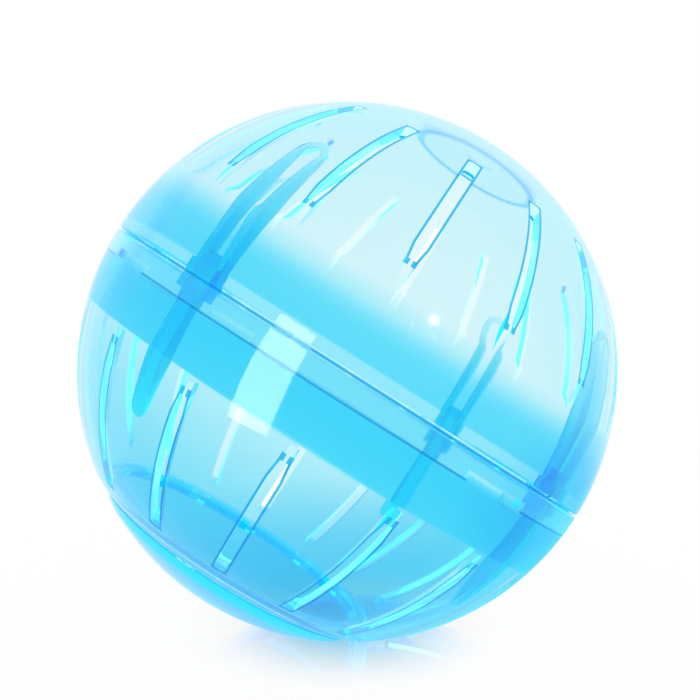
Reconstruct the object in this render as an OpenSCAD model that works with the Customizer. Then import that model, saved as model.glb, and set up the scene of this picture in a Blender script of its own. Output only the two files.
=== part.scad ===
// Exercise ball for a small pet: two slotted half shells that plug together at the seam,
// and a round door that plugs into the lower pole.
// The polar axis is +Z, the seam lies at z = 0 and the origin is the ball's centre.

/* [Ball] */
// Outer diameter of the ball
ball_d = 120; // [112:1:130]
// Thickness of the plain wall
wall_t = 2; // [1.8:0.1:2.4]
// Thickness of the wall's band where it meets the seam
band_t = 4.4; // [3.8:0.1:4.8]
// Depth of the band's lower edge below the seam
band_drop = 15.3; // [12:0.1:16]

/* [Seam] */
// Gap between the two halves at the seam
seam_gap = 0.2; // [0.1:0.05:0.4]
// Half width of the V groove that both rims' outer edges form
seam_chamfer = 0.6; // [0.3:0.1:0.9]
// Thickness of the lower half's rim
rim_t = 1.5; // [1.3:0.1:1.7]
// Height of the rim, which takes the spigot
rim_h = 5; // [4.5:0.5:7]
// Thickness of the upper half's spigot
spigot_t = 1.3; // [1.1:0.1:1.6]
// How far the thin belt runs above the seam
belt_rise = 3; // [2:0.5:4]
// Clearance between pieces that plug together
fit_gap = 0.3; // [0.2:0.05:0.4]
// Number of notches in the spigot's edge
notch_count = 4; // [2, 4]
// Width of each notch, in degrees
notch_span = 15.7; // [8:0.1:20]
// Height of each notch
notch_h = 1.6; // [0.8:0.1:3]
// Turn of the first notch from +X, in degrees
notch_turn = 37; // [30:1:42]

/* [Keys] */
// Number of keys that stop the halves from turning
key_count = 4; // [2, 4]
// Width of each tongue on the lower half
tongue_w = 3.8; // [3:0.1:4.6]
// Thickness of each tongue's tip, which runs inside the upper half's band
tongue_t = 1.5; // [1.2:0.1:2.1]
// How far each tongue stands above the seam
tongue_rise = 5.5; // [4:0.5:9]
// How far each tongue runs down below the seam
tongue_drop = 28; // [22:1:34]
// Chamfer on the tongue's top corners
tongue_chamfer = 0.6; // [0.2:0.1:1]
// Thickness of the guide fins on the upper half
fin_t = 1.3; // [1:0.1:1.6]
// How far the fins stand in past the tongue's inner face
fin_proud = 0.2; // [0.1:0.1:0.6]
// Height of the guide's arched top above the seam
guide_rise = 34; // [28:1:38]
// How far the fins run down below the seam
guide_drop = 3; // [2:0.5:3.5]

/* [Slots] */
// Number of slots in each half
slot_count = 16; // [8:4:20]
// Width of each slot
slot_w = 2.5; // [2.2:0.1:3]
// Width of the slot's narrow end beside the seam
slot_tip_w = 1.6; // [1.2:0.1:2.2]
// Length over which the slot narrows, seen along the axis
slot_tip_l = 1.4; // [0.8:0.1:2]
// Chamfer on the corners of the slot's end beside the pole
slot_corner = 0.4; // [0.2:0.1:0.8]
// Radius at which the upper half's slots end beside the pole
upper_slot_r = 37; // [32:0.5:40]
// Distance of the upper slots' outer end from the ball's greatest radius
upper_slot_inset = 4.5; // [4:0.1:6]
// Radius at which the lower half's slots end beside the door
lower_slot_r = 39.5; // [37.5:0.5:42]
// Distance of the lower slots' outer end from the ball's greatest radius
lower_slot_inset = 3.2; // [2.6:0.1:4.5]
// Plain strip between the band's lower edge and the lower slots
slot_band_gap = 0.6; // [0.4:0.1:2]

/* [Door] */
// Radius of the door opening
door_r = 33; // [28:0.5:33]
// Width of the sloping land around the opening
land_w = 4; // [3:0.1:4.2]
// Depth of the finger groove between land and lid
groove_d = 0.9; // [0.5:0.1:1]
// Width of the slope on the lid's edge
lid_slope_w = 2; // [1.5:0.1:3]
// Thickness of the collar around the opening
collar_t = 1.5; // [1.2:0.1:2.2]
// How far the collar stands above the wall inside
collar_rise = 0.6; // [0.4:0.1:2]
// Thickness of the lip that stops the lid
lip_t = 1; // [0.8:0.1:1.2]
// How far the lip reaches in past the opening's wall
lip_w = 1.6; // [1.2:0.1:2.4]
// Thickness of the lid's skirt
skirt_t = 1.6; // [1.3:0.1:2.2]

/* [Poles] */
// Radius of the thick pad inside the upper pole
pad_r = 15; // [10:0.5:20]
// How far the pad stands in from the wall
pad_t = 0.8; // [0.5:0.1:1.2]
// Radius of the small dimple outside each pole
dimple_r = 3.5; // [2:0.5:5]
// Depth of the dimple's floor below the pole
dimple_d = 0.5; // [0.4:0.1:0.9]

/* [Hidden] */
$fn = 128;
// Overrun that carries every cut past the face it opens
over = 1;
ball_r = ball_d / 2;
wall_r = ball_r - wall_t;
mid_r = ball_r - wall_t / 2;
band_r = ball_r - band_t;
half_gap = seam_gap / 2;
rim_r = ball_r - rim_t;
spigot_out_r = rim_r - fit_gap;
spigot_r = spigot_out_r - spigot_t;
spigot_end = fit_gap - rim_h;
tongue_out_r = spigot_r - fit_gap;
tip_r = band_r - fit_gap;
tongue_r = tip_r - tongue_t;
guide_r = tongue_r - fin_proud;
guide_in_w = tongue_w + 2 * fit_gap;
guide_w = guide_in_w + 2 * fin_t;
slot_pitch = 360 / slot_count;
// Each key stands midway between two slots
key_turn = slot_pitch * (2 + 1 / 2);
lid_r = door_r - fit_gap;
collar_r = door_r + collar_t;

// Height on a sphere of radius rad at the distance r from the axis
function rise_at(rad, r) = sqrt(rad * rad - r * r);
// Radius on a sphere of radius rad at the height h
function radius_at(rad, h) = sqrt(rad * rad - h * h);
// Centre on the r axis of an arc that leaves (r0, 0) upright and passes (r1, h)
function arc_centre(r0, r1, h) = (r0 * r0 - r1 * r1 - h * h) / (2 * (r0 - r1));

band_top = rise_at(wall_r, band_r);
lip_top = collar_rise - rise_at(wall_r, collar_r);
lip_end = lip_top - lip_t;
skirt_top = lip_end - fit_gap;

// Rectangle between two corners of a section
module block(r0, z0, r1, z1) {
    translate([r0, z0]) square([r1 - r0, z1 - z0]);
}

// Groove of V section that both rims share at the seam
module seam_groove() {
    polygon([
        [ball_r - seam_chamfer, 0],
        [ball_r + over, seam_chamfer + over],
        [ball_r + over, -seam_chamfer - over]
    ]);
}

// Finger groove around the door, with the land on one side and the lid's edge on the other
module door_groove() {
    land_r = door_r + land_w;
    slope_r = door_r - lid_slope_w;
    polygon([
        [land_r, -rise_at(ball_r, land_r)],
        [door_r, groove_d - rise_at(ball_r, door_r)],
        [slope_r, -rise_at(ball_r, slope_r)],
        [slope_r, -ball_r - over],
        [land_r, -ball_r - over]
    ]);
}

// Section of the upper half: dome, band, belt and spigot
module upper_section() {
    difference() {
        intersection() {
            circle(ball_r);
            block(0, half_gap, ball_r, ball_r);
        }
        block(0, -over, spigot_r, belt_rise);
        intersection() {
            circle(wall_r);
            block(0, belt_rise - over, band_r, ball_r);
        }
        seam_groove();
    }
    block(spigot_r, spigot_end, spigot_out_r, belt_rise);
}

// Section of the lower half: rim, ledge, band, bowl, land and collar with its lip
module lower_section() {
    difference() {
        intersection() {
            circle(ball_r);
            block(0, -ball_r, ball_r, -half_gap);
        }
        block(0, -rim_h, rim_r, over);
        block(0, -band_drop, band_r, over);
        intersection() {
            circle(wall_r);
            block(0, -ball_r, ball_r, -band_drop);
        }
        block(0, -ball_r, door_r, -band_drop);
        door_groove();
        seam_groove();
    }
    difference() {
        intersection() {
            circle(mid_r);
            block(door_r - lip_w, -ball_r, collar_r, lip_top);
        }
        block(0, -ball_r, door_r, lip_end);
        door_groove();
    }
}

// Section of the lid: dome, skirt and sloping edge
module lid_section() {
    difference() {
        intersection() {
            circle(ball_r);
            block(0, -ball_r, lid_r, skirt_top);
        }
        intersection() {
            circle(wall_r);
            block(0, -ball_r, lid_r - skirt_t, 0);
        }
        door_groove();
    }
}

// Section that the upper half's guides fill, from the spigot up into the wall
module guide_section() {
    top_r = radius_at(wall_r, guide_rise);
    centre = arc_centre(guide_r, top_r, guide_rise);
    block(guide_r, -guide_drop, (spigot_r + spigot_out_r) / 2, belt_rise);
    difference() {
        intersection() {
            circle(mid_r);
            block(top_r - over, half_gap, ball_r, guide_rise + over);
        }
        translate([centre, 0]) circle(guide_r - centre);
        block(0, -over, guide_r, belt_rise);
    }
}

// Section that the lower half's tongues fill, from the bowl's wall to their free ends
module tongue_section() {
    end_r = radius_at(wall_r, tongue_drop);
    centre = arc_centre(tongue_r, end_r, tongue_drop);
    // The back steps in where the tongue passes from the spigot to the thicker band
    block(tongue_r, -rim_h - over, tongue_out_r, belt_rise - fit_gap);
    block(tongue_r, -rim_h - over, tip_r, tongue_rise);
    difference() {
        intersection() {
            circle(mid_r);
            block(end_r - over, -tongue_drop - over, ball_r, -rim_h);
        }
        translate([centre, 0]) circle(tongue_r - centre);
    }
}

// Upright strip of width w with a round top at the height z1
module arch(w, z0, z1) {
    block(-w / 2, z0, w / 2, z1 - w / 2);
    translate([0, z1 - w / 2]) circle(w / 2);
}

// Runs an outline, drawn as width and height, out from the axis along +X
module run_out() {
    rotate([90, 0, 90]) linear_extrude(ball_r) children();
}

// One guide of the upper half: two fins joined by an arch, open below
module guide() {
    intersection() {
        rotate_extrude() guide_section();
        run_out() difference() {
            arch(guide_w, -guide_drop - over, guide_rise);
            arch(guide_in_w, -guide_drop - 2 * over, guide_rise - fin_t);
        }
    }
}

// One tongue of the lower half: a rib on the wall with a free end above the ledge
module tongue() {
    side = tongue_w / 2;
    intersection() {
        rotate_extrude() tongue_section();
        run_out() {
            mirror([0, 1]) arch(tongue_w, 0, tongue_drop);
            polygon([
                [-side, -over],
                [side, -over],
                [side, tongue_rise - tongue_chamfer],
                [side - tongue_chamfer, tongue_rise],
                [tongue_chamfer - side, tongue_rise],
                [-side, tongue_rise - tongue_chamfer]
            ]);
        }
    }
}

// Outline of one slot seen along the axis, from r0 beside the pole to r1 beside the seam
module slot_outline(r0, r1) {
    side = slot_w / 2;
    tip = slot_tip_w / 2;
    polygon([
        [r0, side - slot_corner],
        [r0 + slot_corner, side],
        [r1 - slot_tip_l, side],
        [r1, tip],
        [r1, -tip],
        [r1 - slot_tip_l, -side],
        [r0 + slot_corner, -side],
        [r0, slot_corner - side]
    ]);
}

// Ring of slots cut along the axis between the heights z0 and z1
module slots(r0, r1, z0, z1) {
    for (k = [0:slot_count - 1])
        rotate(k * slot_pitch) translate([0, 0, z0]) linear_extrude(z1 - z0) slot_outline(r0, r1);
}

// Copies of a key feature around the axis
module keys() {
    for (k = [0:key_count - 1]) rotate(key_turn + k * 360 / key_count) children();
}

// Notches in the spigot's lower edge
module notches() {
    for (k = [0:notch_count - 1])
        rotate(notch_turn - notch_span / 2 + k * 360 / notch_count)
            rotate_extrude(angle = notch_span)
                block(spigot_r - over, spigot_end - over, spigot_out_r + over, spigot_end + notch_h);
}

// Dimple in the outer surface of the pole at +Z
module dimple() {
    translate([0, 0, ball_r - dimple_d]) cylinder(h = dimple_d + over, r = dimple_r);
}

module upper_half() {
    color("#8fdcf5") {
        difference() {
            union() {
                rotate_extrude() upper_section();
                keys() guide();
                intersection() {
                    rotate_extrude() difference() {
                        circle(mid_r);
                        circle(wall_r - pad_t);
                        block(-ball_r, -ball_r, 0, ball_r);
                    }
                    cylinder(h = ball_r, r = pad_r);
                }
            }
            slots(upper_slot_r, ball_r - upper_slot_inset, band_top, ball_r);
            notches();
            dimple();
        }
    }
}

module lower_half() {
    color("#5ccbf2") {
        difference() {
            union() {
                rotate_extrude() lower_section();
                keys() tongue();
            }
            slots(lower_slot_r, ball_r - lower_slot_inset, -ball_r, -band_drop - slot_band_gap);
        }
    }
}

module door_lid() {
    color("#49bdec") {
        difference() {
            rotate_extrude() lid_section();
            mirror([0, 0, 1]) dimple();
        }
    }
}

upper_half();
lower_half();
door_lid();
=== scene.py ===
"""Looks of a slotted exercise ball for a small pet: two clear blue half shells and a round door."""

import math

import bpy
from bpy.props import FloatProperty, FloatVectorProperty, IntProperty, PointerProperty, StringProperty
from bpy.types import Operator, Panel, PropertyGroup
from mathutils import Matrix, Vector


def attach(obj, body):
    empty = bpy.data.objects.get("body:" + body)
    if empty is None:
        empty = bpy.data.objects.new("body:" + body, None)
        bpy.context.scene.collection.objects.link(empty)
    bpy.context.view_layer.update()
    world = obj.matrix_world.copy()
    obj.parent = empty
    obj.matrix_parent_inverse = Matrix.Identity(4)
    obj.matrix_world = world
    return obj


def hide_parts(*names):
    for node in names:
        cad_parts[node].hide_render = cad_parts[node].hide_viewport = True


bl_info = {
    "name": "Pet Exercise Ball",
    "version": (1, 0, 0),
    "blender": (4, 5, 0),
    "location": "View3D > Sidebar > Exercise Ball",
    "description": "Makes a slotted ball of clear blue plastic with a plug-in door, and its studio",
    "category": "Object",
}

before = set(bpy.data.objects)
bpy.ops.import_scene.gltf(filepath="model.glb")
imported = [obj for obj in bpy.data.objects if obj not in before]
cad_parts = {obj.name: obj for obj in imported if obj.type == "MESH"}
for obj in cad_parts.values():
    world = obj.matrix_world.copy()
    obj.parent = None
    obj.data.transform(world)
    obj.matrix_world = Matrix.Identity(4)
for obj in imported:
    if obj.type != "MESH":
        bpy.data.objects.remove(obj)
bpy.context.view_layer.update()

MM = 0.001
# Overrun that carries a cutting tool past the face it opens
OVER = 1 * MM
# How far a point may lie from a face, or from the axis, and still count as on it
SKIN = 0.1 * MM
ON_AXIS = 0.0001 * MM
# Height over which one tint gives way to the next where the photo shows a crisp edge
CRISP_STEP = 0.2 * MM
# Room between the ball and the floor, so that the two never share a point
FLOOR_ROOM = 0.05 * MM
# Steps around the axis, across a rib's wedge, around a half circle and around the floor, and the angle of a
# step along an arc, fine enough that no facet shows
ROUND_STEPS = 192
WEDGE_STEPS = 24
HALF_STEPS = 16
FLOOR_STEPS = 96
ARC_STEP = math.radians(1.5)
# An edge sharper than this stays crisp, and a flatter one is shaded smooth
CRISP_ANGLE = math.radians(20)
# Only the flat sides of ribs and slots have more corners than this, and they stay flat
FLAT_CORNERS = 12
# Names of the face values that tell ribs and the slots' cut sides from the wall
RIB = "rib"
CUT = "cut"
# Shares of the painted glow that stands in for light leaving by the ends of the upper and the lower slots and
# by their long sides, and the difference by which the material tells them apart
UPPER_END_SHARE = 1.0
LOWER_END_SHARE = 0.3
SIDE_SHARE = 0.5
SHARE_MARGIN = 0.1
# Cosine above which a face counts as turned in a direction
TURNED_THAT_WAY = 0.8
# Kind of shader node that works out a number from others
MATH = "ShaderNodeMath"
# Reflections and bounces of all kinds after which the renderer gives up on a ray
MOST_REFLECTIONS = 4
MOST_BOUNCES = 12


def length(name, mm, description):
    """Length property with its default in millimetres."""
    return FloatProperty(name=name, description=description, default=mm * MM, unit="LENGTH", precision=4)


def angle(name, degrees, description):
    """Angle property with its default in degrees."""
    return FloatProperty(name=name, description=description, default=math.radians(degrees), subtype="ANGLE")


def factor(name, default, description):
    """Property from 0 to 1."""
    return FloatProperty(name=name, description=description, default=default, min=0, max=1, subtype="FACTOR")


def colour(name, default, description):
    """Colour property, an sRGB hex value."""
    return StringProperty(name=name, description=description, default=default)


def number(name, default, description, least=0):
    """Property without a unit."""
    return FloatProperty(name=name, description=description, default=default, min=least)


def whole(name, default, description, least=1):
    """Property that counts something."""
    return IntProperty(name=name, description=description, default=default, min=least)


def pair(name, default, description):
    """Property of two numbers."""
    return FloatVectorProperty(name=name, description=description, default=default, size=2)


def spot(name, default, description):
    """Property that holds a place in metres."""
    return FloatVectorProperty(name=name, description=description, default=default, size=3,
                               subtype="TRANSLATION")


class BallSizes(PropertyGroup):
    """Sizes of the shells and of the seam between them."""
    radius: length("Radius", 60, "Outer radius of the ball")
    wall: length("Wall", 2, "Thickness of the plain wall")
    band: length("Band", 4.4, "Thickness of the wall's band at the seam")
    band_drop: length("Band Drop", 15.3, "Depth of the band's lower edge below the seam")
    seam_gap: length("Seam Gap", 0.2, "Gap between the two halves")
    seam_chamfer: length("Seam Chamfer", 0.6, "Half width of the V groove along the seam")
    rim: length("Rim", 1.5, "Thickness of the lower half's rim")
    rim_height: length("Rim Height", 5, "Height of the rim that takes the spigot")
    spigot: length("Spigot", 1.3, "Thickness of the upper half's spigot")
    belt_rise: length("Belt Rise", 3, "How far the thin belt runs above the seam")
    fit_gap: length("Fit Gap", 0.3, "Clearance between pieces that plug together")
    notch_height: length("Notch Height", 1.6, "Height of the notches in the spigot's edge")
    notch_span: angle("Notch Span", 15.7, "Width of each notch")
    notch_turn: angle("Notch Turn", 37, "Turn of the first notch from +X")
    notch_count: whole("Notches", 4, "Number of notches")
    pad_radius: length("Pad Radius", 15, "Radius of the thick pad inside the upper pole")
    pad: length("Pad", 0.8, "How far the pad stands in from the wall")
    dimple_radius: length("Dimple Radius", 3.5, "Radius of the small dimple outside each pole")
    dimple: length("Dimple", 0.5, "Depth of the dimple's floor below the pole")


class KeySizes(PropertyGroup):
    """Sizes of the tongues and guides that key the halves."""
    count: whole("Keys", 4, "Number of keys")
    tongue_width: length("Tongue Width", 3.8, "Width of each tongue")
    tongue: length("Tongue", 1.5, "Thickness of each tongue's tip, which runs inside the upper half's band")
    tongue_rise: length("Tongue Rise", 5.5, "How far each tongue stands above the seam")
    tongue_drop: length("Tongue Drop", 28, "How far each tongue runs down below the seam")
    tongue_chamfer: length("Tongue Chamfer", 0.6, "Chamfer on the tongue's top corners")
    fin: length("Fin", 1.3, "Thickness of the guide's fins")
    fin_proud: length("Fin Proud", 0.2, "How far the fins stand in past the tongue's inner face")
    guide_rise: length("Guide Rise", 34, "Height of the guide's arched top above the seam")
    guide_drop: length("Guide Drop", 3, "How far the fins run down below the seam")


class SlotSizes(PropertyGroup):
    """Sizes of the air slots."""
    count: whole("Slots", 16, "Number of slots in each half", 4)
    width: length("Width", 2.5, "Width of each slot")
    tip_width: length("Tip Width", 1.6, "Width of the slot's narrow end beside the seam")
    tip_length: length("Tip Length", 1.4, "Length over which the slot narrows, seen along the axis")
    corner: length("Corner", 0.4, "Chamfer on the corners of the slot's end beside the pole")
    upper_radius: length("Upper Radius", 37, "Radius at which the upper slots end beside the pole")
    upper_inset: length("Upper Inset", 4.5, "Distance of the upper slots' outer end from the greatest radius")
    lower_radius: length("Lower Radius", 39.5, "Radius at which the lower slots end beside the door")
    lower_inset: length("Lower Inset", 3.2, "Distance of the lower slots' outer end from the greatest radius")
    band_gap: length("Band Gap", 0.6, "Plain strip between the band's lower edge and the lower slots")


class DoorSizes(PropertyGroup):
    """Sizes of the door opening and its lid."""
    radius: length("Radius", 33, "Radius of the door opening")
    land: length("Land", 4, "Width of the sloping land around the opening")
    groove: length("Groove", 0.9, "Depth of the finger groove between land and lid")
    slope: length("Lid Slope", 2, "Width of the slope on the lid's edge")
    collar: length("Collar", 1.5, "Thickness of the collar around the opening")
    collar_rise: length("Collar Rise", 0.6, "How far the collar stands above the wall inside")
    lip: length("Lip", 1, "Thickness of the lip that stops the lid")
    lip_width: length("Lip Width", 1.6, "How far the lip reaches in past the opening's wall")
    skirt: length("Skirt", 1.6, "Thickness of the lid's skirt")


class PlasticLooks(PropertyGroup):
    """Colours and finish of the moulded plastic, with its painted edge shade and painted glow."""
    dome_colour: colour("Dome", "#FFFEFD", "Tint of the upper half's plain wall")
    band_colour: colour("Upper Band", "#B9F4FD", "Tint of the upper half's band")
    belt_colour: colour("Belt", "#DDF9FD", "Tint of the thin belt by the seam")
    low_band_colour: colour("Lower Band", "#96EFFD", "Tint of the lower half's band")
    bowl_colour: colour("Bowl", "#F0FCFD", "Tint of the lower half's wall below the band")
    door_side_colour: colour("Door Side", "#B8F0FB", "Tint of the lower half's wall by the door")
    lid_colour: colour("Lid", "#74E0F9", "Tint of the door lid")
    fade: length("Fade", 6.5, "Height over which the upper band's tint fades out")
    step: length("Step", 1.1, "How far the lower band's tint steps up behind the spigot's notches")
    rib_colour: colour("Ribs", "#08ECFF", "Tint of the guides and tongues, seen edge on")
    guide_top: factor("Guide Top", 0.5, "Share of the rib tint left at the guides' tops")
    # Edges, Seam, Side Shade and the Pad settings paint dark lines in the edges' tint: painted shade where
    # the moulded edges bend the light away
    edge_shade_colour: colour("Edges", "#0C9EE0", "Tint of the thin lines where edges bend the light")
    edge: length("Edge", 0.48, "Reach of the thin line on either side of a slot's edge")
    seam: length("Seam", 0.46, "Width of the lines along the seam and along the ledge")
    side_shade: factor("Side Shade", 0.1, "Share of the edges' tint on the slots' long sides")
    pad_line: length("Pad Line", 2.2, "Width of the line along the pad's edge")
    pad_shade: factor("Pad Shade", 0.45, "Share of the edges' tint along the pad's edge")
    pad_tint: factor("Pad Tint", 0.85, "Share of the ribs' tint along the pad's edge")
    depth_colour: colour("Depth", "#00EDFF", "Colour that long ways through the plastic take")
    depth_density: number("Density", 100, "Absorption for each metre of plastic")
    # Caught Light and Cut Glow set a painted glow: emission that stands in for light leaving the plastic
    caught_colour: colour("Caught Light", "#34CCF8", "Colour of light that leaves after a long way")
    cut_glow: number("Cut Glow", 0.6, "Light that leaves by the slots' cut sides")
    roughness: factor("Roughness", 0.05, "Roughness of the polished faces")
    rib_roughness: factor("Rib Roughness", 0.3, "Roughness of the guides' and tongues' faces")
    refraction: number("IOR", 1.3, "Refractive index; polystyrene has 1.59, and 1.3 matches the photo", 1)
    wave: length("Melt Waves", 14, "Length of the waves that the flow of the melt leaves in the gloss")
    wave_depth: length("Wave Depth", 0.06, "Depth of the melt waves")
    wave_strength: factor("Wave Strength", 0.35, "Share of the melt waves' depth that shows")


class StudioSettings(PropertyGroup):
    """Camera, floor and lamps."""
    lean: angle("Lean", 32.3, "Lean of the ball's axis to the right in the picture")
    reach: number("Reach", 4, "Camera's distance from the centre, in ball radii")
    turn: angle("Turn", 0.9, "Turn of the camera about the ball's axis, to the right")
    picture_width: whole("Picture Width", 700, "Width of the picture in pixels")
    ball_pixels: number("Ball Pixels", 270.5, "Radius of the ball's outline in pixels")
    centre_pixels: pair("Centre Pixels", (347.4, 371.8), "Place of the ball's centre in the picture")
    floor_tilt: angle("Floor Tilt", 9, "How far the floor turns its face to the camera")
    floor_radius: number("Floor Radius", 8, "Radius of the floor, in ball radii")
    floor_fade: pair("Floor Fade", (2, 6), "Ball radii between which the floor fades into the surroundings")
    floor_colour: colour("Floor", "#FFFFFF", "Colour of the floor")
    backlight: factor("Backlight", 0.95, "Share of the floor's white that comes from within")
    # Under settings paint a pool of blue light on the floor, seen through the ball: painted light that stands
    # in for light that came through the ball
    floor_painted_light_colour: colour("Under", "#80E2FB", "Light on the floor that came through the ball")
    under_place: pair("Under Place", (0.7, 0.5), "Its centre to the right and behind, in ball radii")
    under_fade: pair("Under Fade", (0.3, 2.2), "Ball radii from its centre between which it fades out")
    mirror: factor("Mirror", 0.85, "Share of light that the floor mirrors beside the ball")
    mirror_fade: pair("Mirror Fade", (0.05, 0.62), "Ball radii between which the mirror image fades out")
    mirror_roughness: factor("Mirror Roughness", 0.02, "Roughness of the floor's polish")
    softbox_place: spot("Softbox Place", (-0.376, -0.837, -0.265), "Place of the tall softbox")
    softbox_size: pair("Softbox Size", (0.29, 0.74), "Width and height of the softbox in metres")
    softbox_power: number("Softbox Power", 11, "Power of the softbox in watts")
    lamp_place: spot("Lamp Place", (0.32, -0.86, 0.61), "Place of the small lamp")
    lamp_size: length("Lamp Size", 50, "Diameter of the small lamp")
    lamp_power: number("Lamp Power", 3, "Power of the small lamp in watts")


def shape():
    """The scene's sizes and looks, as the sidebar shows them."""
    return bpy.context.scene.exercise_ball


def linear(code):
    """Linear RGBA of an sRGB hex colour."""
    values = [int(code[i:i + 2], 16) / 255 for i in (1, 3, 5)]
    return tuple(v / 12.92 if v <= 0.04045 else ((v + 0.055) / 1.055) ** 2.4 for v in values) + (1.0,)


def height_on(radius, r):
    """Height on a sphere at the distance r from the axis."""
    return math.sqrt(radius * radius - r * r)


def radius_on(radius, z):
    """Distance from the axis of a sphere's surface at the height z."""
    return math.sqrt(radius * radius - z * z)


def arc(centre_r, radius, z0, z1):
    """Points in (r, z) of an arc around (centre_r, 0) from the height z0 to z1, on the outer side."""
    a0 = math.asin(z0 / radius)
    a1 = math.asin(z1 / radius)
    steps = max(2, math.ceil(abs(a1 - a0) / ARC_STEP))
    turns = [a0 + (a1 - a0) * i / steps for i in range(steps + 1)]
    return [(centre_r + radius * math.cos(a), radius * math.sin(a)) for a in turns]


def upright_arc_centre(r0, r1, z):
    """Centre on the r axis of an arc that leaves (r0, 0) upright and passes (r1, z)."""
    return (r0 * r0 - r1 * r1 - z * z) / (2 * (r0 - r1))


class BallPlan:
    """Every radius and height that the pieces share, worked out from the sidebar's sizes."""

    def __init__(self):
        ball, key, slot, door = shape().ball, shape().key, shape().slot, shape().door
        self.r = ball.radius
        self.wall_r = ball.radius - ball.wall
        self.mid_r = ball.radius - ball.wall / 2
        self.band_r = ball.radius - ball.band
        self.half_gap = ball.seam_gap / 2
        self.rim_r = ball.radius - ball.rim
        self.spigot_out_r = self.rim_r - ball.fit_gap
        self.spigot_r = self.spigot_out_r - ball.spigot
        self.spigot_end = ball.fit_gap - ball.rim_height
        self.spigot_mid_r = (self.spigot_r + self.spigot_out_r) / 2
        self.tongue_out_r = self.spigot_r - ball.fit_gap
        self.tip_r = self.band_r - ball.fit_gap
        self.tongue_r = self.tip_r - key.tongue
        self.guide_r = self.tongue_r - key.fin_proud
        self.guide_in_w = key.tongue_width + 2 * ball.fit_gap
        self.guide_w = self.guide_in_w + 2 * key.fin
        self.slot_pitch = math.tau / slot.count
        # The keys stand midway between two slots
        self.key_turn = self.slot_pitch * 2.5
        self.band_top = height_on(self.wall_r, self.band_r)
        self.lid_r = door.radius - ball.fit_gap
        self.collar_r = door.radius + door.collar
        self.lip_top = door.collar_rise - height_on(self.wall_r, self.collar_r)
        self.lip_end = self.lip_top - door.lip
        self.skirt_top = self.lip_end - ball.fit_gap
        self.land_r = door.radius + door.land
        self.slope_r = door.radius - door.slope
        # Where the seam's V groove meets the ball's surface
        inner = self.r - ball.seam_chamfer
        self.groove_z = (math.sqrt(2 * self.r ** 2 - inner ** 2) - inner) / 2
        self.groove_in_r = inner + self.half_gap


def new_piece(name, vertices, faces):
    """Mesh object from points and faces, linked to the scene."""
    mesh = bpy.data.meshes.new(name)
    mesh.from_pydata([tuple(v) for v in vertices], [], faces)
    mesh.validate()
    piece = bpy.data.objects.new(name, mesh)
    bpy.context.scene.collection.objects.link(piece)
    return piece


def lathe(name, outline, start=0.0, span=math.tau, steps=ROUND_STEPS):
    """Solid turned from a closed outline in (r, z), drawn counter-clockwise; a part turn gets flat ends."""
    whole = span >= math.tau
    rings = steps if whole else steps + 1
    vertices = []
    index = []
    for r, z in outline:
        if r < ON_AXIS:
            vertices.append((0, 0, z))
            index.append([len(vertices) - 1] * rings)
            continue
        row = []
        for k in range(rings):
            a = start + span * k / steps
            row.append(len(vertices))
            vertices.append((r * math.cos(a), r * math.sin(a), z))
        index.append(row)
    faces = []
    for i, row in enumerate(index):
        after = index[(i + 1) % len(index)]
        for k in range(steps):
            n = (k + 1) % rings
            corners = [row[k], row[n], after[n], after[k]]
            face = [c for j, c in enumerate(corners) if c != corners[j - 1]]
            if len(face) > 2:
                faces.append(face)
    if not whole:
        faces.append([row[0] for row in index])
        faces.append([row[-1] for row in reversed(index)])
    return new_piece(name, vertices, faces)


def prism(name, outlines, low, high, place):
    """Straight solids: each closed outline in (u, v) runs from low to high, and place sets its points."""
    vertices = []
    faces = []
    for outline in outlines:
        base = len(vertices)
        n = len(outline)
        vertices += [place(u, v, low) for u, v in outline] + [place(u, v, high) for u, v in outline]
        faces.append([base + i for i in reversed(range(n))])
        faces.append([base + n + i for i in range(n)])
        faces += [[base + i, base + (i + 1) % n, base + n + (i + 1) % n, base + n + i] for i in range(n)]
    return new_piece(name, vertices, faces)


def combine(piece, tool, operation):
    """Adds, cuts away or keeps the common part of a tool, and deletes the tool."""
    step = piece.modifiers.new(operation.title(), "BOOLEAN")
    step.operation = operation
    step.object = tool
    step.solver = "MANIFOLD"
    graph = bpy.context.evaluated_depsgraph_get()
    made = bpy.data.meshes.new_from_object(piece.evaluated_get(graph))
    piece.modifiers.clear()
    piece.data = made
    bpy.data.objects.remove(tool)
    return piece


def turned_copies(piece, turns):
    """The same piece at several turns about the axis, as one mesh."""
    vertices = []
    faces = []
    for turn in turns:
        base = len(vertices)
        spin = Matrix.Rotation(turn, 4, "Z")
        vertices += [spin @ v.co for v in piece.data.vertices]
        faces += [[base + i for i in p.vertices] for p in piece.data.polygons]
    made = new_piece(piece.name + "_ring", vertices, faces)
    bpy.data.objects.remove(piece)
    return made


def along_x(u, v, x):
    """Place of a point drawn as width and height, at the distance x from the axis."""
    return (x, u, v)


def along_z(u, v, z):
    """Place of a point drawn in plan, at the height z."""
    return (u, v, z)


def half_round(width, z, up):
    """Points of a half circle over a strip's width that tops out at the height z, or bottoms out there."""
    radius = width / 2
    turns = [math.pi * i / HALF_STEPS for i in range(HALF_STEPS + 1)]
    sign = 1 if up else -1
    return [(radius * math.cos(a), z - sign * radius + sign * radius * math.sin(a)) for a in turns]


def key_turns(plan):
    """Turns of the keys about the axis."""
    count = shape().key.count
    return [plan.key_turn + math.tau * k / count for k in range(count)]


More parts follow.
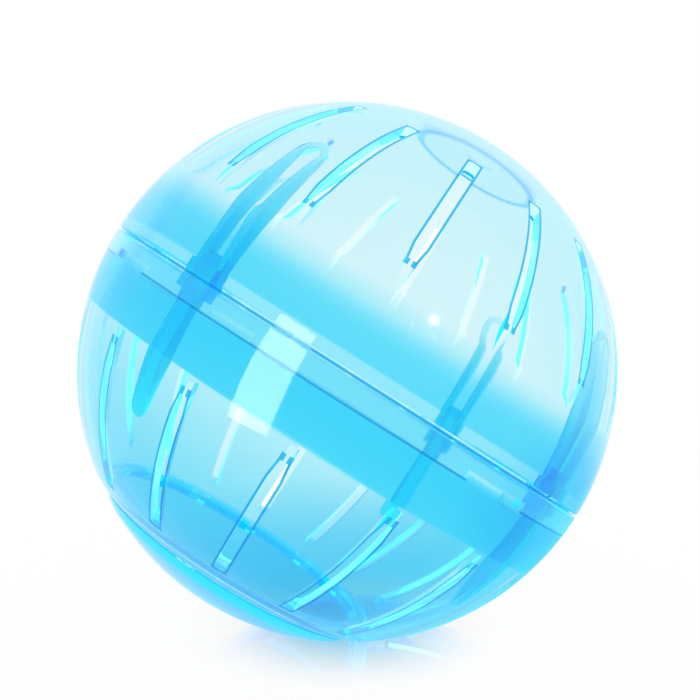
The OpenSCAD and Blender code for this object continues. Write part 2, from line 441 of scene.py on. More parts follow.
def guide_ring(plan):
    """The upper half's guides: pairs of fins under an arch, on the wall's inside."""
    key = shape().key
    top_r = radius_on(plan.wall_r, key.guide_rise)
    centre = upright_arc_centre(plan.guide_r, top_r, key.guide_rise)
    inner = arc(centre, plan.guide_r - centre, 0, key.guide_rise)
    # The section ends inside the wall, so that the guide grows out of it
    outline = [(plan.guide_r, -key.guide_drop), (plan.spigot_mid_r, -key.guide_drop)]
    outline += [(plan.spigot_mid_r, plan.half_gap)]
    outline += arc(0, plan.mid_r, plan.half_gap, key.guide_rise)
    outline += list(reversed(inner))
    spread = plan.guide_w / plan.guide_r
    wedge = lathe("guide", outline, -spread, 2 * spread, WEDGE_STEPS)
    outer_top = half_round(plan.guide_w, key.guide_rise, True)
    inner_top = half_round(plan.guide_in_w, key.guide_rise - key.fin, True)
    foot = -key.guide_drop - OVER
    side = plan.guide_w / 2
    in_side = plan.guide_in_w / 2
    arch = [(side, foot)] + outer_top + [(-side, foot), (-in_side, foot)]
    arch += list(reversed(inner_top)) + [(in_side, foot)]
    tool = prism("arch", [arch], plan.guide_r / 2, plan.r, along_x)
    return turned_copies(combine(wedge, tool, "INTERSECT"), key_turns(plan))


def tongue_ring(plan):
    """The lower half's tongues: ribs on the wall with a free end above the ledge."""
    key, ball = shape().key, shape().ball
    end_r = radius_on(plan.wall_r, key.tongue_drop)
    centre = upright_arc_centre(plan.tongue_r, end_r, key.tongue_drop)
    shoulder = -ball.rim_height
    outline = arc(centre, plan.tongue_r - centre, -key.tongue_drop, shoulder)
    # The back steps in where the tongue passes from the spigot to the thicker band
    step = ball.belt_rise - ball.fit_gap
    outline += [(plan.tongue_r, shoulder), (plan.tongue_r, key.tongue_rise), (plan.tip_r, key.tongue_rise)]
    outline += [(plan.tip_r, step), (plan.tongue_out_r, step), (plan.tongue_out_r, shoulder)]
    outline += list(reversed(arc(0, plan.mid_r, -key.tongue_drop, shoulder)))
    spread = key.tongue_width / plan.tongue_r
    wedge = lathe("tongue", outline[::-1], -spread, 2 * spread, WEDGE_STEPS)
    side = key.tongue_width / 2
    top = key.tongue_rise
    cut = key.tongue_chamfer
    blade = list(reversed(half_round(key.tongue_width, -key.tongue_drop, False)))
    blade += [(side, top - cut), (side - cut, top), (cut - side, top), (-side, top - cut)]
    tool = prism("blade", [blade], plan.tongue_r / 2, plan.r, along_x)
    return turned_copies(combine(wedge, tool, "INTERSECT"), key_turns(plan))


def slot_ring(plan, r0, r1, z0, z1):
    """Ring of slot tools from the height z0 to z1, each from r0 beside the pole to r1 beside the seam."""
    slot = shape().slot
    side, tip, cut = slot.width / 2, slot.tip_width / 2, slot.corner
    half = [(r0, side - cut), (r0 + cut, side), (r1 - slot.tip_length, side), (r1, tip)]
    outline = [(r, -y) for r, y in half] + [(r, y) for r, y in reversed(half)]
    tool = prism("slot", [outline], z0, z1, along_z)
    return turned_copies(tool, [k * plan.slot_pitch for k in range(slot.count)])


def notch_ring(plan):
    """Tools for the notches in the spigot's lower edge."""
    ball = shape().ball
    low, high = plan.spigot_end - OVER, plan.spigot_end + ball.notch_height
    # The tool ends in the gap between spigot and rim
    inner, outer = plan.spigot_r - OVER, plan.spigot_out_r + ball.fit_gap / 2
    outline = [(inner, low), (outer, low), (outer, high), (inner, high)]
    tool = lathe("notch", outline, ball.notch_turn - ball.notch_span / 2, ball.notch_span, HALF_STEPS)
    return turned_copies(tool, [math.tau * k / ball.notch_count for k in range(ball.notch_count)])


def on_rib(plan, point):
    """True for a point on a guide, a tongue or the pad's edge, clear of the wall that carries it."""
    key, ball = shape().key, shape().ball
    r = math.hypot(point.x, point.y)
    if abs(point.z) > key.guide_rise:
        return point.z > 0 and abs(r - ball.pad_radius) < SKIN and point.length < plan.wall_r - SKIN
    pitch = math.tau / key.count
    turn = (math.atan2(point.y, point.x) - plan.key_turn + pitch / 2) % pitch - pitch / 2
    if -ball.rim_height < point.z < ball.belt_rise:
        inner = plan.spigot_r
    else:
        inner = min(plan.band_r, radius_on(plan.wall_r, point.z))
    return abs(r * math.sin(turn)) < plan.guide_w / 2 + SKIN and r < inner - SKIN


def cut_share(plan, face, reach, end_share):
    """Share of the painted glow, standing in for light that leaves by a face; reach is where the slots start
    and end beside the axis.
    """
    slot = shape().slot
    point = face.center
    turn = (math.atan2(point.y, point.x) + plan.slot_pitch / 2) % plan.slot_pitch - plan.slot_pitch / 2
    out = math.hypot(point.x, point.y)
    skin = SKIN / 2
    beside = abs(out * math.sin(turn)) < slot.width / 2 + skin
    along = reach[0] - skin < out * math.cos(turn) < reach[1] + skin
    through = plan.wall_r + skin < point.length < plan.r - skin
    if not (beside and along and through) or abs(face.normal.dot(point.normalized())) > TURNED_THAT_WAY:
        return 0
    # A long side stands square to the ring
    across = Vector((-point.y, point.x, 0)).normalized()
    return SIDE_SHARE if abs(face.normal.dot(across)) > TURNED_THAT_WAY else end_share


def mark_faces(mesh, name, share):
    """Gives each face a value from 0 to 1, which the material reads by its name."""
    mark = mesh.attributes.new(name, "FLOAT", "FACE")
    mark.data.foreach_set("value", [float(share(face)) for face in mesh.polygons])


def finish_mesh(piece, node, body, plan, material, reach=None, end_share=0):
    """Keeps crisp edges, marks ribs and cut sides and stands the piece in for its CAD node."""
    mesh = piece.data
    mesh.name = piece.name
    mesh.shade_smooth()
    mesh.set_sharp_from_angle(angle=CRISP_ANGLE)
    for face in mesh.polygons:
        if len(face.vertices) > FLAT_CORNERS:
            face.use_smooth = False
    mesh.materials.clear()
    mesh.materials.append(material)
    mark_faces(mesh, RIB, lambda face: on_rib(plan, face.center))
    mark_faces(mesh, CUT, lambda face: cut_share(plan, face, reach, end_share) if reach else 0)
    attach(piece, body)
    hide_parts(node)


def add_node(tree, kind, settings=None, links=()):
    """Adds a shader node, sets its properties and sockets, and links its inputs.

    Links go by the input's name or number, or are a list in the inputs' order. Each is a number to set,
    another node's output, or a node, whose first output it takes.
    """
    node = tree.nodes.new(kind)
    for name, value in (settings or {}).items():
        if isinstance(name, int) or name in node.inputs:
            node.inputs[name].default_value = value
        else:
            setattr(node, name, value)
    inputs = links.items() if isinstance(links, dict) else enumerate(links)
    for name, source in inputs:
        if isinstance(source, (int, float)):
            node.inputs[name].default_value = source
            continue
        if isinstance(source, bpy.types.Node):
            source = source.outputs[0]
        tree.links.new(source, node.inputs[name])
    return node


def new_material(name):
    """Empty node material with its output."""
    material = bpy.data.materials.new(name)
    material.use_nodes = True
    material.node_tree.nodes.clear()
    return material, material.node_tree, add_node(material.node_tree, "ShaderNodeOutputMaterial")


def all_of(tree, *masks):
    """1 where every mask is 1, 0 elsewhere."""
    joined = masks[0]
    for mask in masks[1:]:
        joined = add_node(tree, MATH, {"operation": "MULTIPLY"}, [joined, mask])
    return joined


def distance(tree, x, y):
    """Distance from the axis."""
    flat = add_node(tree, "ShaderNodeCombineXYZ", links=[x, y])
    return add_node(tree, "ShaderNodeVectorMath", {"operation": "LENGTH"}, [flat]).outputs["Value"]


def turn_within(tree, x, y, start, pitch):
    """Turn about the axis, counted from the nearest of the places a pitch apart that begin at the start."""
    turn = add_node(tree, MATH, {"operation": "ARCTAN2"}, [y, x])
    turn = add_node(tree, MATH, {"operation": "SUBTRACT"}, [turn, start])
    return add_node(tree, MATH, {"operation": "WRAP"}, [turn, pitch / 2, -pitch / 2])


def slot_edges(tree, x, y, z, span, clear):
    """1 within a thin line around each slot, 0 elsewhere.

    span is the slots' reach and clear the edge of the band beside them.
    """
    slot, line = shape().slot, shape().looks.edge
    near, far = span
    turn = turn_within(tree, x, y, 0.0, math.tau / slot.count)
    out = distance(tree, x, y)
    cosine = add_node(tree, MATH, {"operation": "COSINE"}, [turn])
    along = add_node(tree, MATH, {"operation": "MULTIPLY"}, [out, cosine])
    sine = add_node(tree, MATH, {"operation": "SINE"}, [turn])
    aside = add_node(tree, MATH, {"operation": "MULTIPLY"}, [out, sine])
    across = add_node(tree, MATH, {"operation": "ABSOLUTE"}, [aside])
    half = add_node(tree, "ShaderNodeMapRange",
                    {"From Min": far - slot.tip_length, "From Max": far, "To Min": slot.width / 2,
                     "To Max": slot.tip_width / 2}, {"Value": along})
    side = add_node(tree, MATH, {"operation": "COMPARE"}, [across, half, line])
    by_end = add_node(tree, MATH, {"operation": "COMPARE"}, [along, near, line])
    beside = add_node(tree, MATH, {"operation": "LESS_THAN"}, [across, slot.width / 2 + line])
    edge = add_node(tree, MATH, {"operation": "MAXIMUM"}, [side, all_of(tree, by_end, beside)])
    middle, half_span = (near + far) / 2, (far - near) / 2
    within = add_node(tree, MATH, {"operation": "COMPARE"}, [along, middle, half_span + line])
    height = add_node(tree, MATH, {"operation": "ABSOLUTE"}, [z])
    past_band = add_node(tree, MATH, {"operation": "GREATER_THAN"}, [height, clear])
    return all_of(tree, within, past_band, edge)


def pad_edge(tree, plan, x, y, z, out):
    """1 within a line on the inner face along the edge of the pad under the upper pole, 0 elsewhere."""
    ball, line = shape().ball, shape().looks.pad_line
    near = add_node(tree, MATH, {"operation": "COMPARE"}, [distance(tree, x, y), ball.pad_radius, line / 2])
    inside = add_node(tree, MATH, {"operation": "LESS_THAN"}, [out, plan.wall_r + SKIN])
    above = add_node(tree, MATH, {"operation": "GREATER_THAN"}, [z, shape().key.guide_rise])
    return all_of(tree, near, inside, above)


def behind_notch(tree, x, y):
    """1 in the sectors where the spigot's edge has its notches, 0 elsewhere."""
    ball = shape().ball
    turn = turn_within(tree, x, y, ball.notch_turn, math.tau / ball.notch_count)
    turn = add_node(tree, MATH, {"operation": "ABSOLUTE"}, [turn])
    return add_node(tree, MATH, {"operation": "LESS_THAN"}, [turn, ball.notch_span / 2])


def ring_line(tree, plan, z, out, height):
    """1 within a thin line around the outer face at a height, 0 elsewhere."""
    outside = add_node(tree, MATH, {"operation": "GREATER_THAN"}, [out, plan.spigot_out_r - SKIN])
    near = add_node(tree, MATH, {"operation": "COMPARE"}, [z, height, shape().looks.seam / 2])
    return all_of(tree, outside, near)


def height_tint(tree, z, stops):
    """Colour along the axis; stops are (height, colour), lowest first."""
    radius = shape().ball.radius
    share = add_node(tree, "ShaderNodeMapRange", {"From Min": -radius, "From Max": radius}, {"Value": z})
    ramp = add_node(tree, "ShaderNodeValToRGB", links={"Fac": share})
    elements = ramp.color_ramp.elements
    while len(elements) < len(stops):
        elements.new(0.5)
    for element, (height, code) in zip(elements, stops):
        element.position = (height + radius) / (2 * radius)
        element.color = linear(code)
    return ramp.outputs["Color"]


def crystal_polystyrene(name, stops, slots=None, pad=False, ledge=None):
    """Crystal polystyrene with a blue dye, injection moulded in polished tools.

    The eye gets a glossy clear wall, pale where it is seen face on and deep blue in the ribs, where the way
    through the plastic is long. Painted thin dark lines, painted shade, run along the seam and around the
    slots, where the moulded edges bend the light away, and the slots' cut sides get a painted glow. The flow
    of the melt leaves faint long waves in the gloss.

    stops are the tints by height. slots are the slots' reach and the edge of the band beside them, pad is
    true for the half with the pad, and ledge is the height of the ledge that takes the spigot.
    """
    looks, plan, ball, key = shape().looks, BallPlan(), shape().ball, shape().key
    material, tree, output = new_material(name)
    place = add_node(tree, "ShaderNodeTexCoord").outputs["Object"]
    x, y, z = add_node(tree, "ShaderNodeSeparateXYZ", links=[place]).outputs
    out = add_node(tree, "ShaderNodeVectorMath", {"operation": "LENGTH"}, [place]).outputs["Value"]
    # Backfacing is 1 where a ray leaves the plastic, so front is where it comes in
    face = add_node(tree, "ShaderNodeNewGeometry")
    front = add_node(tree, MATH, {"operation": "SUBTRACT"}, [1.0, face.outputs["Backfacing"]])
    cut = add_node(tree, "ShaderNodeAttribute", {"attribute_name": CUT}).outputs["Fac"]
    rib = add_node(tree, "ShaderNodeAttribute", {"attribute_name": RIB}).outputs["Fac"]

    # The guides grow shallower towards their tops, and their tint thins out with them
    shallow = add_node(tree, "ShaderNodeMapRange",
                       {"From Min": key.tongue_rise, "From Max": key.guide_rise, "To Min": 1.0,
                        "To Max": looks.guide_top}, {"Value": z})
    rib_tint = add_node(tree, MATH, {"operation": "MULTIPLY"}, [rib, shallow])

    # Painted shade: thin dark lines in the edges' tint run along the inner edge of the upper slots' ends,
    # around the slots and along the seam, along the pad's edge on the inner face, and along the ledge, where
    # the edges bend the light away
    upper_end = (LOWER_END_SHARE + UPPER_END_SHARE) / 2
    at_end = add_node(tree, MATH, {"operation": "GREATER_THAN"}, [cut, upper_end])
    inner = add_node(tree, MATH, {"operation": "LESS_THAN"}, [out, plan.wall_r + looks.seam])
    inner_edge = all_of(tree, at_end, inner)
    lines = []
    if slots:
        outer_face = add_node(tree, MATH, {"operation": "GREATER_THAN"}, [out, plan.r - SKIN / 2])
        lines.append(all_of(tree, slot_edges(tree, x, y, z, *slots), outer_face))
        lines.append(ring_line(tree, plan, z, out, 0))
    if pad:
        # The pad's edge gets a painted dark line and a deeper tint, painted shade where its step bends the
        # light
        edge = pad_edge(tree, plan, x, y, z, out)
        lines.append(add_node(tree, MATH, {"operation": "MULTIPLY"}, [edge, looks.pad_shade]))
        pad_tint = add_node(tree, MATH, {"operation": "MULTIPLY"}, [edge, looks.pad_tint])
        rib_tint = add_node(tree, MATH, {"operation": "MAXIMUM"}, [rib_tint, pad_tint])
    band_z = z
    if ledge:
        # Behind the notches the lower band's upper edge steps up, and has no line
        notch = behind_notch(tree, x, y)
        beside_notch = add_node(tree, MATH, {"operation": "SUBTRACT"}, [1.0, notch])
        lines.append(all_of(tree, ring_line(tree, plan, z, out, ledge), beside_notch))
        by_ledge = add_node(tree, MATH, {"operation": "GREATER_THAN"}, [z, -ball.band_drop / 2])
        step = add_node(tree, MATH, {"operation": "MULTIPLY"}, [all_of(tree, notch, by_ledge), looks.step])
        band_z = add_node(tree, MATH, {"operation": "SUBTRACT"}, [z, step])
    line = inner_edge
    for item in lines:
        line = add_node(tree, MATH, {"operation": "MAXIMUM"}, [line, item])
    # A ray takes their tint where it comes in, so the far side's lines stay faint
    line = add_node(tree, MATH, {"operation": "MULTIPLY"}, [line, front])
    # The slots' long sides take a share of the painted edge shade
    long_side = add_node(tree, MATH, {"operation": "COMPARE"}, [cut, SIDE_SHARE, SHARE_MARGIN])
    side_line = add_node(tree, MATH, {"operation": "MULTIPLY"}, [long_side, looks.side_shade])
    line = add_node(tree, MATH, {"operation": "MAXIMUM"}, [line, side_line])

    deep = add_node(tree, "ShaderNodeMix", {"data_type": "RGBA", 7: linear(looks.rib_colour)},
                    {0: rib_tint, 6: height_tint(tree, band_z, stops)})
    # The painted shade of the lines goes into the base colour
    tint = add_node(tree, "ShaderNodeMix", {"data_type": "RGBA", 7: linear(looks.edge_shade_colour)},
                    {0: line, 6: deep.outputs[2]})

    # The melt waves are too shallow to see except in reflections
    waves = add_node(tree, "ShaderNodeTexNoise", {"Scale": 1 / looks.wave, "Detail": 1.0, "Roughness": 0.4},
                     {"Vector": place})
    relief = add_node(tree, "ShaderNodeBump", {"Strength": looks.wave_strength, "Distance": looks.wave_depth},
                      {"Height": waves.outputs["Fac"]})

    # A ray caught in the wall until the renderer gives up on it would still come out, tinted by its long way,
    # so there the plastic gets a painted glow in the caught light's colour
    path = add_node(tree, "ShaderNodeLightPath")
    glow = 0.0
    for count, most in (("Glossy Depth", MOST_REFLECTIONS), ("Ray Depth", MOST_BOUNCES)):
        caught = add_node(tree, MATH, {"operation": "GREATER_THAN"}, [path.outputs[count], most - 0.5])
        glow = add_node(tree, MATH, {"operation": "MAXIMUM"}, [glow, caught])
    # The slots' cut sides get a painted glow, which stands in for light that runs along inside the wall and
    # leaves there, so they look pale
    painted_glow_colour = add_node(tree, "ShaderNodeMix",
                       {"data_type": "RGBA", 6: linear(looks.caught_colour), 7: (1, 1, 1, 1)}, {0: cut})
    by_cut = add_node(tree, MATH, {"operation": "MULTIPLY"}, [cut, looks.cut_glow])
    clear_of_edge = add_node(tree, MATH, {"operation": "SUBTRACT"}, [1.0, inner_edge])
    by_cut = add_node(tree, MATH, {"operation": "MULTIPLY"}, [by_cut, all_of(tree, front, clear_of_edge)])
    glow = add_node(tree, MATH, {"operation": "MAXIMUM"}, [glow, by_cut])

    rough = add_node(tree, "ShaderNodeMapRange", {"To Min": looks.roughness, "To Max": looks.rib_roughness},
                     {"Value": rib})
    surface = add_node(tree, "ShaderNodeBsdfPrincipled",
                       {"IOR": looks.refraction, "Transmission Weight": 1.0},
                       {"Base Color": tint.outputs[2], "Roughness": rough, "Normal": relief,
                        "Emission Color": painted_glow_colour.outputs[2], "Emission Strength": glow})
    depth = add_node(tree, "ShaderNodeVolumeAbsorption",
                     {"Color": linear(looks.depth_colour), "Density": looks.depth_density})
    tree.links.new(surface.outputs["BSDF"], output.inputs["Surface"])
    tree.links.new(depth.outputs["Volume"], output.inputs["Volume"])
    return material


class OBJECT_OT_upper_half(Operator):
    """Add the upper half: slotted dome, thin belt, spigot with notches, and four arched guides"""
    bl_idname = "exercise_ball.upper_half"
    bl_label = "Add Upper Half"

    def execute(self, context):
        plan, ball, slot, looks = BallPlan(), shape().ball, shape().slot, shape().looks
        dimple_z = plan.r - ball.dimple
        pad_r = plan.wall_r - ball.pad
        outline = [(plan.spigot_r, plan.spigot_end), (plan.spigot_out_r, plan.spigot_end)]
        outline += [(plan.spigot_out_r, plan.half_gap), (plan.groove_in_r, plan.half_gap)]
        outline += arc(0, plan.r, plan.groove_z, height_on(plan.r, ball.dimple_radius))
        outline += [(ball.dimple_radius, dimple_z), (0, dimple_z)]
        pad_arc = arc(0, pad_r, height_on(pad_r, ball.pad_radius), pad_r)
        outline += [(0, pad_r)] + list(reversed(pad_arc))[1:]
        outline += list(reversed(arc(0, plan.wall_r, plan.band_top, height_on(plan.wall_r, ball.pad_radius))))
        outline += [(plan.band_r, ball.belt_rise), (plan.spigot_r, ball.belt_rise)]
        piece = lathe("upper_half_shell", outline)
        combine(piece, guide_ring(plan), "UNION")
        combine(piece, slot_ring(plan, slot.upper_radius, plan.r - slot.upper_inset, plan.band_top, plan.r),
                "DIFFERENCE")
        combine(piece, notch_ring(plan), "DIFFERENCE")
        stops = [(ball.belt_rise, looks.belt_colour), (ball.belt_rise + CRISP_STEP, looks.band_colour),
                 (plan.band_top - looks.fade, looks.band_colour), (plan.band_top, looks.dome_colour)]
        reach = (slot.upper_radius, plan.r - slot.upper_inset)
        plastic = crystal_polystyrene("Crystal Polystyrene Upper", stops, (reach, plan.band_top), pad=True)
        finish_mesh(piece, "upper_half", "upper", plan, plastic, reach, UPPER_END_SHARE)
        return {"FINISHED"}


class OBJECT_OT_lower_half(Operator):
    """Add the lower half: slotted bowl, rim and ledge, four tongues, and the door opening with its collar"""
    bl_idname = "exercise_ball.lower_half"
    bl_label = "Add Lower Half"

    def execute(self, context):
        plan, ball, slot, door, looks = BallPlan(), shape().ball, shape().slot, shape().door, shape().looks
        outline = [(plan.rim_r, -plan.half_gap), (plan.rim_r, -ball.rim_height)]
        outline += [(plan.band_r, -ball.rim_height), (plan.band_r, -ball.band_drop)]
        outline += arc(0, plan.wall_r, -ball.band_drop, -height_on(plan.wall_r, plan.collar_r))
        outline += [(plan.collar_r, plan.lip_top), (door.radius - door.lip_width, plan.lip_top)]
        outline += [(door.radius - door.lip_width, plan.lip_end), (door.radius, plan.lip_end)]
        outline += [(door.radius, door.groove - height_on(plan.r, door.radius))]
        outline += arc(0, plan.r, -height_on(plan.r, plan.land_r), -plan.groove_z)
        outline += [(plan.groove_in_r, -plan.half_gap)]
        piece = lathe("lower_half_shell", outline)
        combine(piece, tongue_ring(plan), "UNION")
        combine(piece, slot_ring(plan, slot.lower_radius, plan.r - slot.lower_inset, -plan.r,
                                 -ball.band_drop - slot.band_gap), "DIFFERENCE")
        stops = [(plan.lip_end, looks.door_side_colour), (-ball.band_drop - CRISP_STEP, looks.bowl_colour),
                 (-ball.band_drop, looks.low_band_colour),
                 (-ball.rim_height - CRISP_STEP, looks.low_band_colour),
                 (-ball.rim_height, looks.belt_colour)]
        reach = (slot.lower_radius, plan.r - slot.lower_inset)
        plastic = crystal_polystyrene("Crystal Polystyrene Lower", stops, (reach, ball.band_drop),
                                      ledge=-ball.rim_height)
        finish_mesh(piece, "lower_half", "lower", plan, plastic, reach, LOWER_END_SHARE)
        return {"FINISHED"}


class OBJECT_OT_door_lid(Operator):
    """Add the round door lid with its skirt and sloping edge"""
    bl_idname = "exercise_ball.door_lid"
    bl_label = "Add Door Lid"

    def execute(self, context):
        plan, ball, door, looks = BallPlan(), shape().ball, shape().door, shape().looks
        dimple_z = plan.r - ball.dimple
        skirt_in_r = plan.lid_r - door.skirt
        # The lid's edge lies on the finger groove's slope
        slope_z = -height_on(plan.r, plan.slope_r)
        floor_z = door.groove - height_on(plan.r, door.radius)
        edge_z = slope_z + (floor_z - slope_z) * (plan.lid_r - plan.slope_r) / (door.radius - plan.slope_r)
        outline = [(0, -dimple_z), (ball.dimple_radius, -dimple_z)]
        outline += arc_under(plan.r, ball.dimple_radius, plan.slope_r)
        outline += [(plan.lid_r, edge_z), (plan.lid_r, plan.skirt_top), (skirt_in_r, plan.skirt_top)]
        outline += list(reversed(arc_under(plan.wall_r, 0, skirt_in_r)))
        piece = lathe("door_lid_shell", outline)
        stops = [(-plan.r, looks.lid_colour), (plan.skirt_top, looks.lid_colour)]
        finish_mesh(piece, "door_lid", "lid", plan, crystal_polystyrene("Crystal Polystyrene Lid", stops))
        return {"FINISHED"}


def arc_under(radius, r0, r1):
    """Points in (r, z) on a sphere's underside from the distance r0 to r1 from the axis."""
    a0 = math.asin(r0 / radius)
    a1 = math.asin(r1 / radius)
    steps = max(2, math.ceil(abs(a1 - a0) / ARC_STEP))
    turns = [a0 + (a1 - a0) * i / steps for i in range(steps + 1)]
    return [(radius * math.sin(a), -radius * math.cos(a)) for a in turns]


class OBJECT_OT_studio(Operator):
    """Add the camera, the pale floor, the lamps and the white surroundings"""
    bl_idname = "exercise_ball.studio"
    bl_label = "Add Studio"

    def execute(self, context):
        studio, ball = shape().studio, shape().ball
        toward = Vector((math.sin(studio.turn), -math.cos(studio.turn), 0))
        right = Vector((math.cos(studio.turn), math.sin(studio.turn), 0))
        up = Vector((0, 0, math.cos(studio.lean))) - right * math.sin(studio.lean)
        add_camera(toward * studio.reach * ball.radius, up)
        add_floor(up * math.cos(studio.floor_tilt) + toward * math.sin(studio.floor_tilt))
        add_lamps()
        add_surroundings()
        return {"FINISHED"}


def facing(at, target, up):
    """Turn of a camera or lamp at a place that looks at a target."""
    back = (at - target).normalized()
    right = up.cross(back).normalized()
    over = back.cross(right)
    turn = Matrix((right, over, back)).transposed().to_4x4()
    turn.translation = at
    return turn


def add_camera(at, up):
    """Camera at the photograph's viewing angle, rolled so that the ball's axis leans."""
    studio, ball = shape().studio, shape().ball
    lens = bpy.data.cameras.new("camera")
    camera = bpy.data.objects.new("camera", lens)
    bpy.context.scene.collection.objects.link(camera)
    camera.matrix_world = facing(at, Vector((0, 0, 0)), up)
    # A sphere's outline from that distance, as a tangent, against its radius in the picture
    outline = 1 / math.sqrt(studio.reach ** 2 - 1)
    pixels = studio.ball_pixels / outline
    lens.lens = lens.sensor_width * pixels / studio.picture_width
    middle = studio.picture_width / 2
    lens.shift_x = (middle - studio.centre_pixels[0]) / studio.picture_width
    lens.shift_y = (studio.centre_pixels[1] - middle) / studio.picture_width
    lens.clip_start = ball.radius / 20
    bpy.context.scene.camera = camera


def white_acrylic():
    """Backlit white acrylic sheet, polished.

    The eye gets plain white with a light shadow, and close to the ball a faint mirror image of its underside.
    Seen through the ball, a painted pool of blue light lies on it.
    """
    studio, radius = shape().studio, shape().ball.radius
    material, tree, output = new_material("Backlit White Acrylic")
    white = linear(studio.floor_colour)
    card = add_node(tree, "ShaderNodeBsdfDiffuse", {"Color": white})
    gloss = add_node(tree, "ShaderNodeBsdfGlossy", {"Roughness": studio.mirror_roughness})
    place = add_node(tree, "ShaderNodeTexCoord").outputs["Object"]
    out = add_node(tree, "ShaderNodeVectorMath", {"operation": "LENGTH"}, [place])
    right, behind = studio.under_place
    off_centre = add_node(tree, "ShaderNodeVectorMath",
                          {"operation": "DISTANCE", 1: (right * radius, behind * radius, 0)}, [place])
    # The painted light under the ball, the mirror image and the sheet itself each fade out with the distance
    fades = ((off_centre, studio.under_fade, 1.0, 0.0), (out, studio.mirror_fade, studio.mirror, 0.0),
             (out, studio.floor_fade, 0.0, 1.0))
    under, mirrored, faded = [
        add_node(tree, "ShaderNodeMapRange",
                 {"interpolation_type": "SMOOTHSTEP", "From Min": start * radius, "From Max": end * radius,
                  "To Min": at_start, "To Max": at_end}, {"Value": way.outputs["Value"]})
        for way, (start, end), at_start, at_end in fades]
    # Painted light: blue that stands in for light that came through the ball lies on the sheet, away from the
    # softbox, and shows only where the ball is in front of it
    path = add_node(tree, "ShaderNodeLightPath")
    through_ball = add_node(tree, MATH, {"operation": "SUBTRACT"}, [1.0, path.outputs["Is Camera Ray"]])
    share = add_node(tree, MATH, {"operation": "MULTIPLY"}, [under, through_ball])
    blue = add_node(tree, "ShaderNodeMix", {"data_type": "RGBA", 6: white, 7: linear(studio.floor_painted_light_colour)},
                    {0: share})
    glow = add_node(tree, "ShaderNodeEmission", {"Strength": 1.0}, {"Color": blue.outputs[2]})
    lit = add_node(tree, "ShaderNodeMixShader", {0: studio.backlight}, {1: card, 2: glow})
    polished = add_node(tree, "ShaderNodeMixShader", links=[mirrored, lit, gloss])
    # The sheet fades into the white surroundings, and from below it isn't there
    face = add_node(tree, "ShaderNodeNewGeometry")
    gone = add_node(tree, MATH, {"operation": "MAXIMUM"}, [faded, face.outputs["Backfacing"]])
    clear = add_node(tree, "ShaderNodeBsdfTransparent")
    mixed = add_node(tree, "ShaderNodeMixShader", links=[gone, polished, clear])
    tree.links.new(mixed.outputs[0], output.inputs["Surface"])
    return material


def add_floor(normal):
    """Pale floor that touches the ball where the picture's bottom is, seen from its upper side only."""
    ball = shape().ball
    radius = shape().studio.floor_radius * ball.radius
    turns = [math.tau * k / FLOOR_STEPS for k in range(FLOOR_STEPS)]
    ring = [(radius * math.cos(a), radius * math.sin(a), 0) for a in turns]
    floor = new_piece("floor", ring, [list(range(FLOOR_STEPS))])
    across = Vector((0, 1, 0)).cross(normal).normalized()
    along = normal.cross(across)
    turn = Matrix((across, along, normal)).transposed().to_4x4()
    turn.translation = -normal * (ball.radius + FLOOR_ROOM)
    floor.matrix_world = turn
    floor.data.materials.append(white_acrylic())


def add_lamp(name, outline, width, height, power, at):
    """Area lamp that faces the ball; it shows in the gloss only, and casts no shadow."""
    light = bpy.data.lights.new(name, "AREA")
    light.shape = outline
    light.size = width
    light.size_y = height
    light.energy = power
    lamp = bpy.data.objects.new(name, light)
    bpy.context.scene.collection.objects.link(lamp)
    lamp.matrix_world = facing(Vector(at), Vector((0, 0, 0)), Vector((0, 0, 1)))
    lamp.visible_diffuse = False
    lamp.visible_transmission = False


def add_lamps():
    """A tall softbox at the camera's left and a small lamp above it, which the gloss mirrors."""
    studio = shape().studio
    add_lamp("softbox", "RECTANGLE", *studio.softbox_size, studio.softbox_power, studio.softbox_place)
    add_lamp("small_lamp", "DISK", studio.lamp_size, studio.lamp_size, studio.lamp_power, studio.lamp_place)


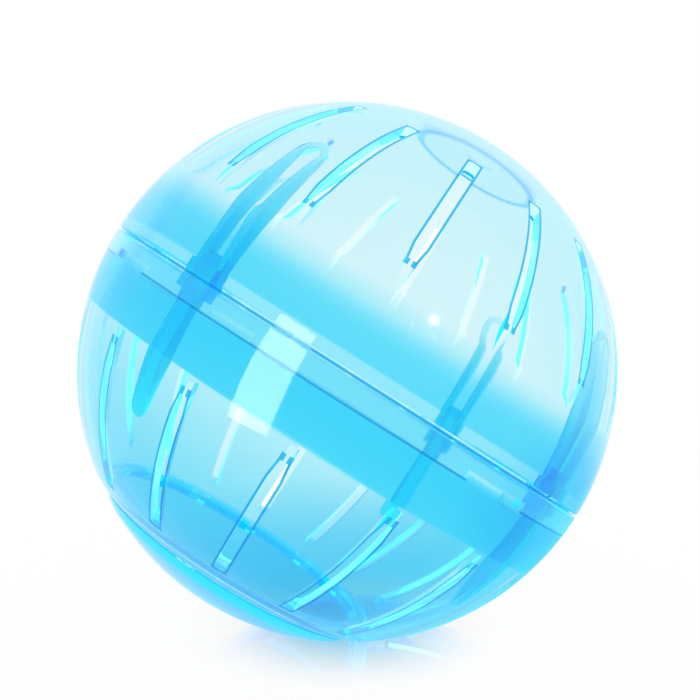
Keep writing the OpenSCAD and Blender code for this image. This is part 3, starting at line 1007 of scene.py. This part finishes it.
def add_surroundings():
    """Even white light from all sides, as in a light tent."""
    world = bpy.data.worlds.new("white studio")
    world.use_nodes = True
    tree = world.node_tree
    tree.nodes.clear()
    sky = add_node(tree, "ShaderNodeBackground", {"Color": (1, 1, 1, 1), "Strength": 1.0})
    output = add_node(tree, "ShaderNodeOutputWorld")
    tree.links.new(sky.outputs[0], output.inputs["Surface"])
    bpy.context.scene.world = world


class ExerciseBall(PropertyGroup):
    """All settings of the exercise ball."""
    ball: PointerProperty(type=BallSizes)
    key: PointerProperty(type=KeySizes)
    slot: PointerProperty(type=SlotSizes)
    door: PointerProperty(type=DoorSizes)
    looks: PointerProperty(type=PlasticLooks)
    studio: PointerProperty(type=StudioSettings)


class VIEW3D_PT_exercise_ball(Panel):
    """Buttons and sizes of the exercise ball"""
    bl_label = "Exercise Ball"
    bl_idname = "VIEW3D_PT_exercise_ball"
    bl_space_type = "VIEW_3D"
    bl_region_type = "UI"
    bl_category = "Exercise Ball"

    def draw(self, context):
        layout = self.layout
        for operator in OPERATORS:
            layout.operator(operator.bl_idname)
        for group in (shape().ball, shape().key, shape().slot, shape().door, shape().looks, shape().studio):
            box = layout.box()
            for name in group.__annotations__:
                box.prop(group, name)


OPERATORS = (OBJECT_OT_studio, OBJECT_OT_upper_half, OBJECT_OT_lower_half, OBJECT_OT_door_lid)
GROUPS = (BallSizes, KeySizes, SlotSizes, DoorSizes, PlasticLooks, StudioSettings, ExerciseBall)


def register():
    for item in GROUPS + OPERATORS + (VIEW3D_PT_exercise_ball,):
        bpy.utils.register_class(item)
    bpy.types.Scene.exercise_ball = PointerProperty(type=ExerciseBall)


def unregister():
    del bpy.types.Scene.exercise_ball
    for item in reversed(GROUPS + OPERATORS + (VIEW3D_PT_exercise_ball,)):
        bpy.utils.unregister_class(item)


def main():
    register()
    bpy.context.scene.view_settings.view_transform = "Standard"
    bpy.ops.exercise_ball.studio()
    bpy.ops.exercise_ball.upper_half()
    bpy.ops.exercise_ball.lower_half()
    bpy.ops.exercise_ball.door_lid()


if __name__ == "__main__":
    main()
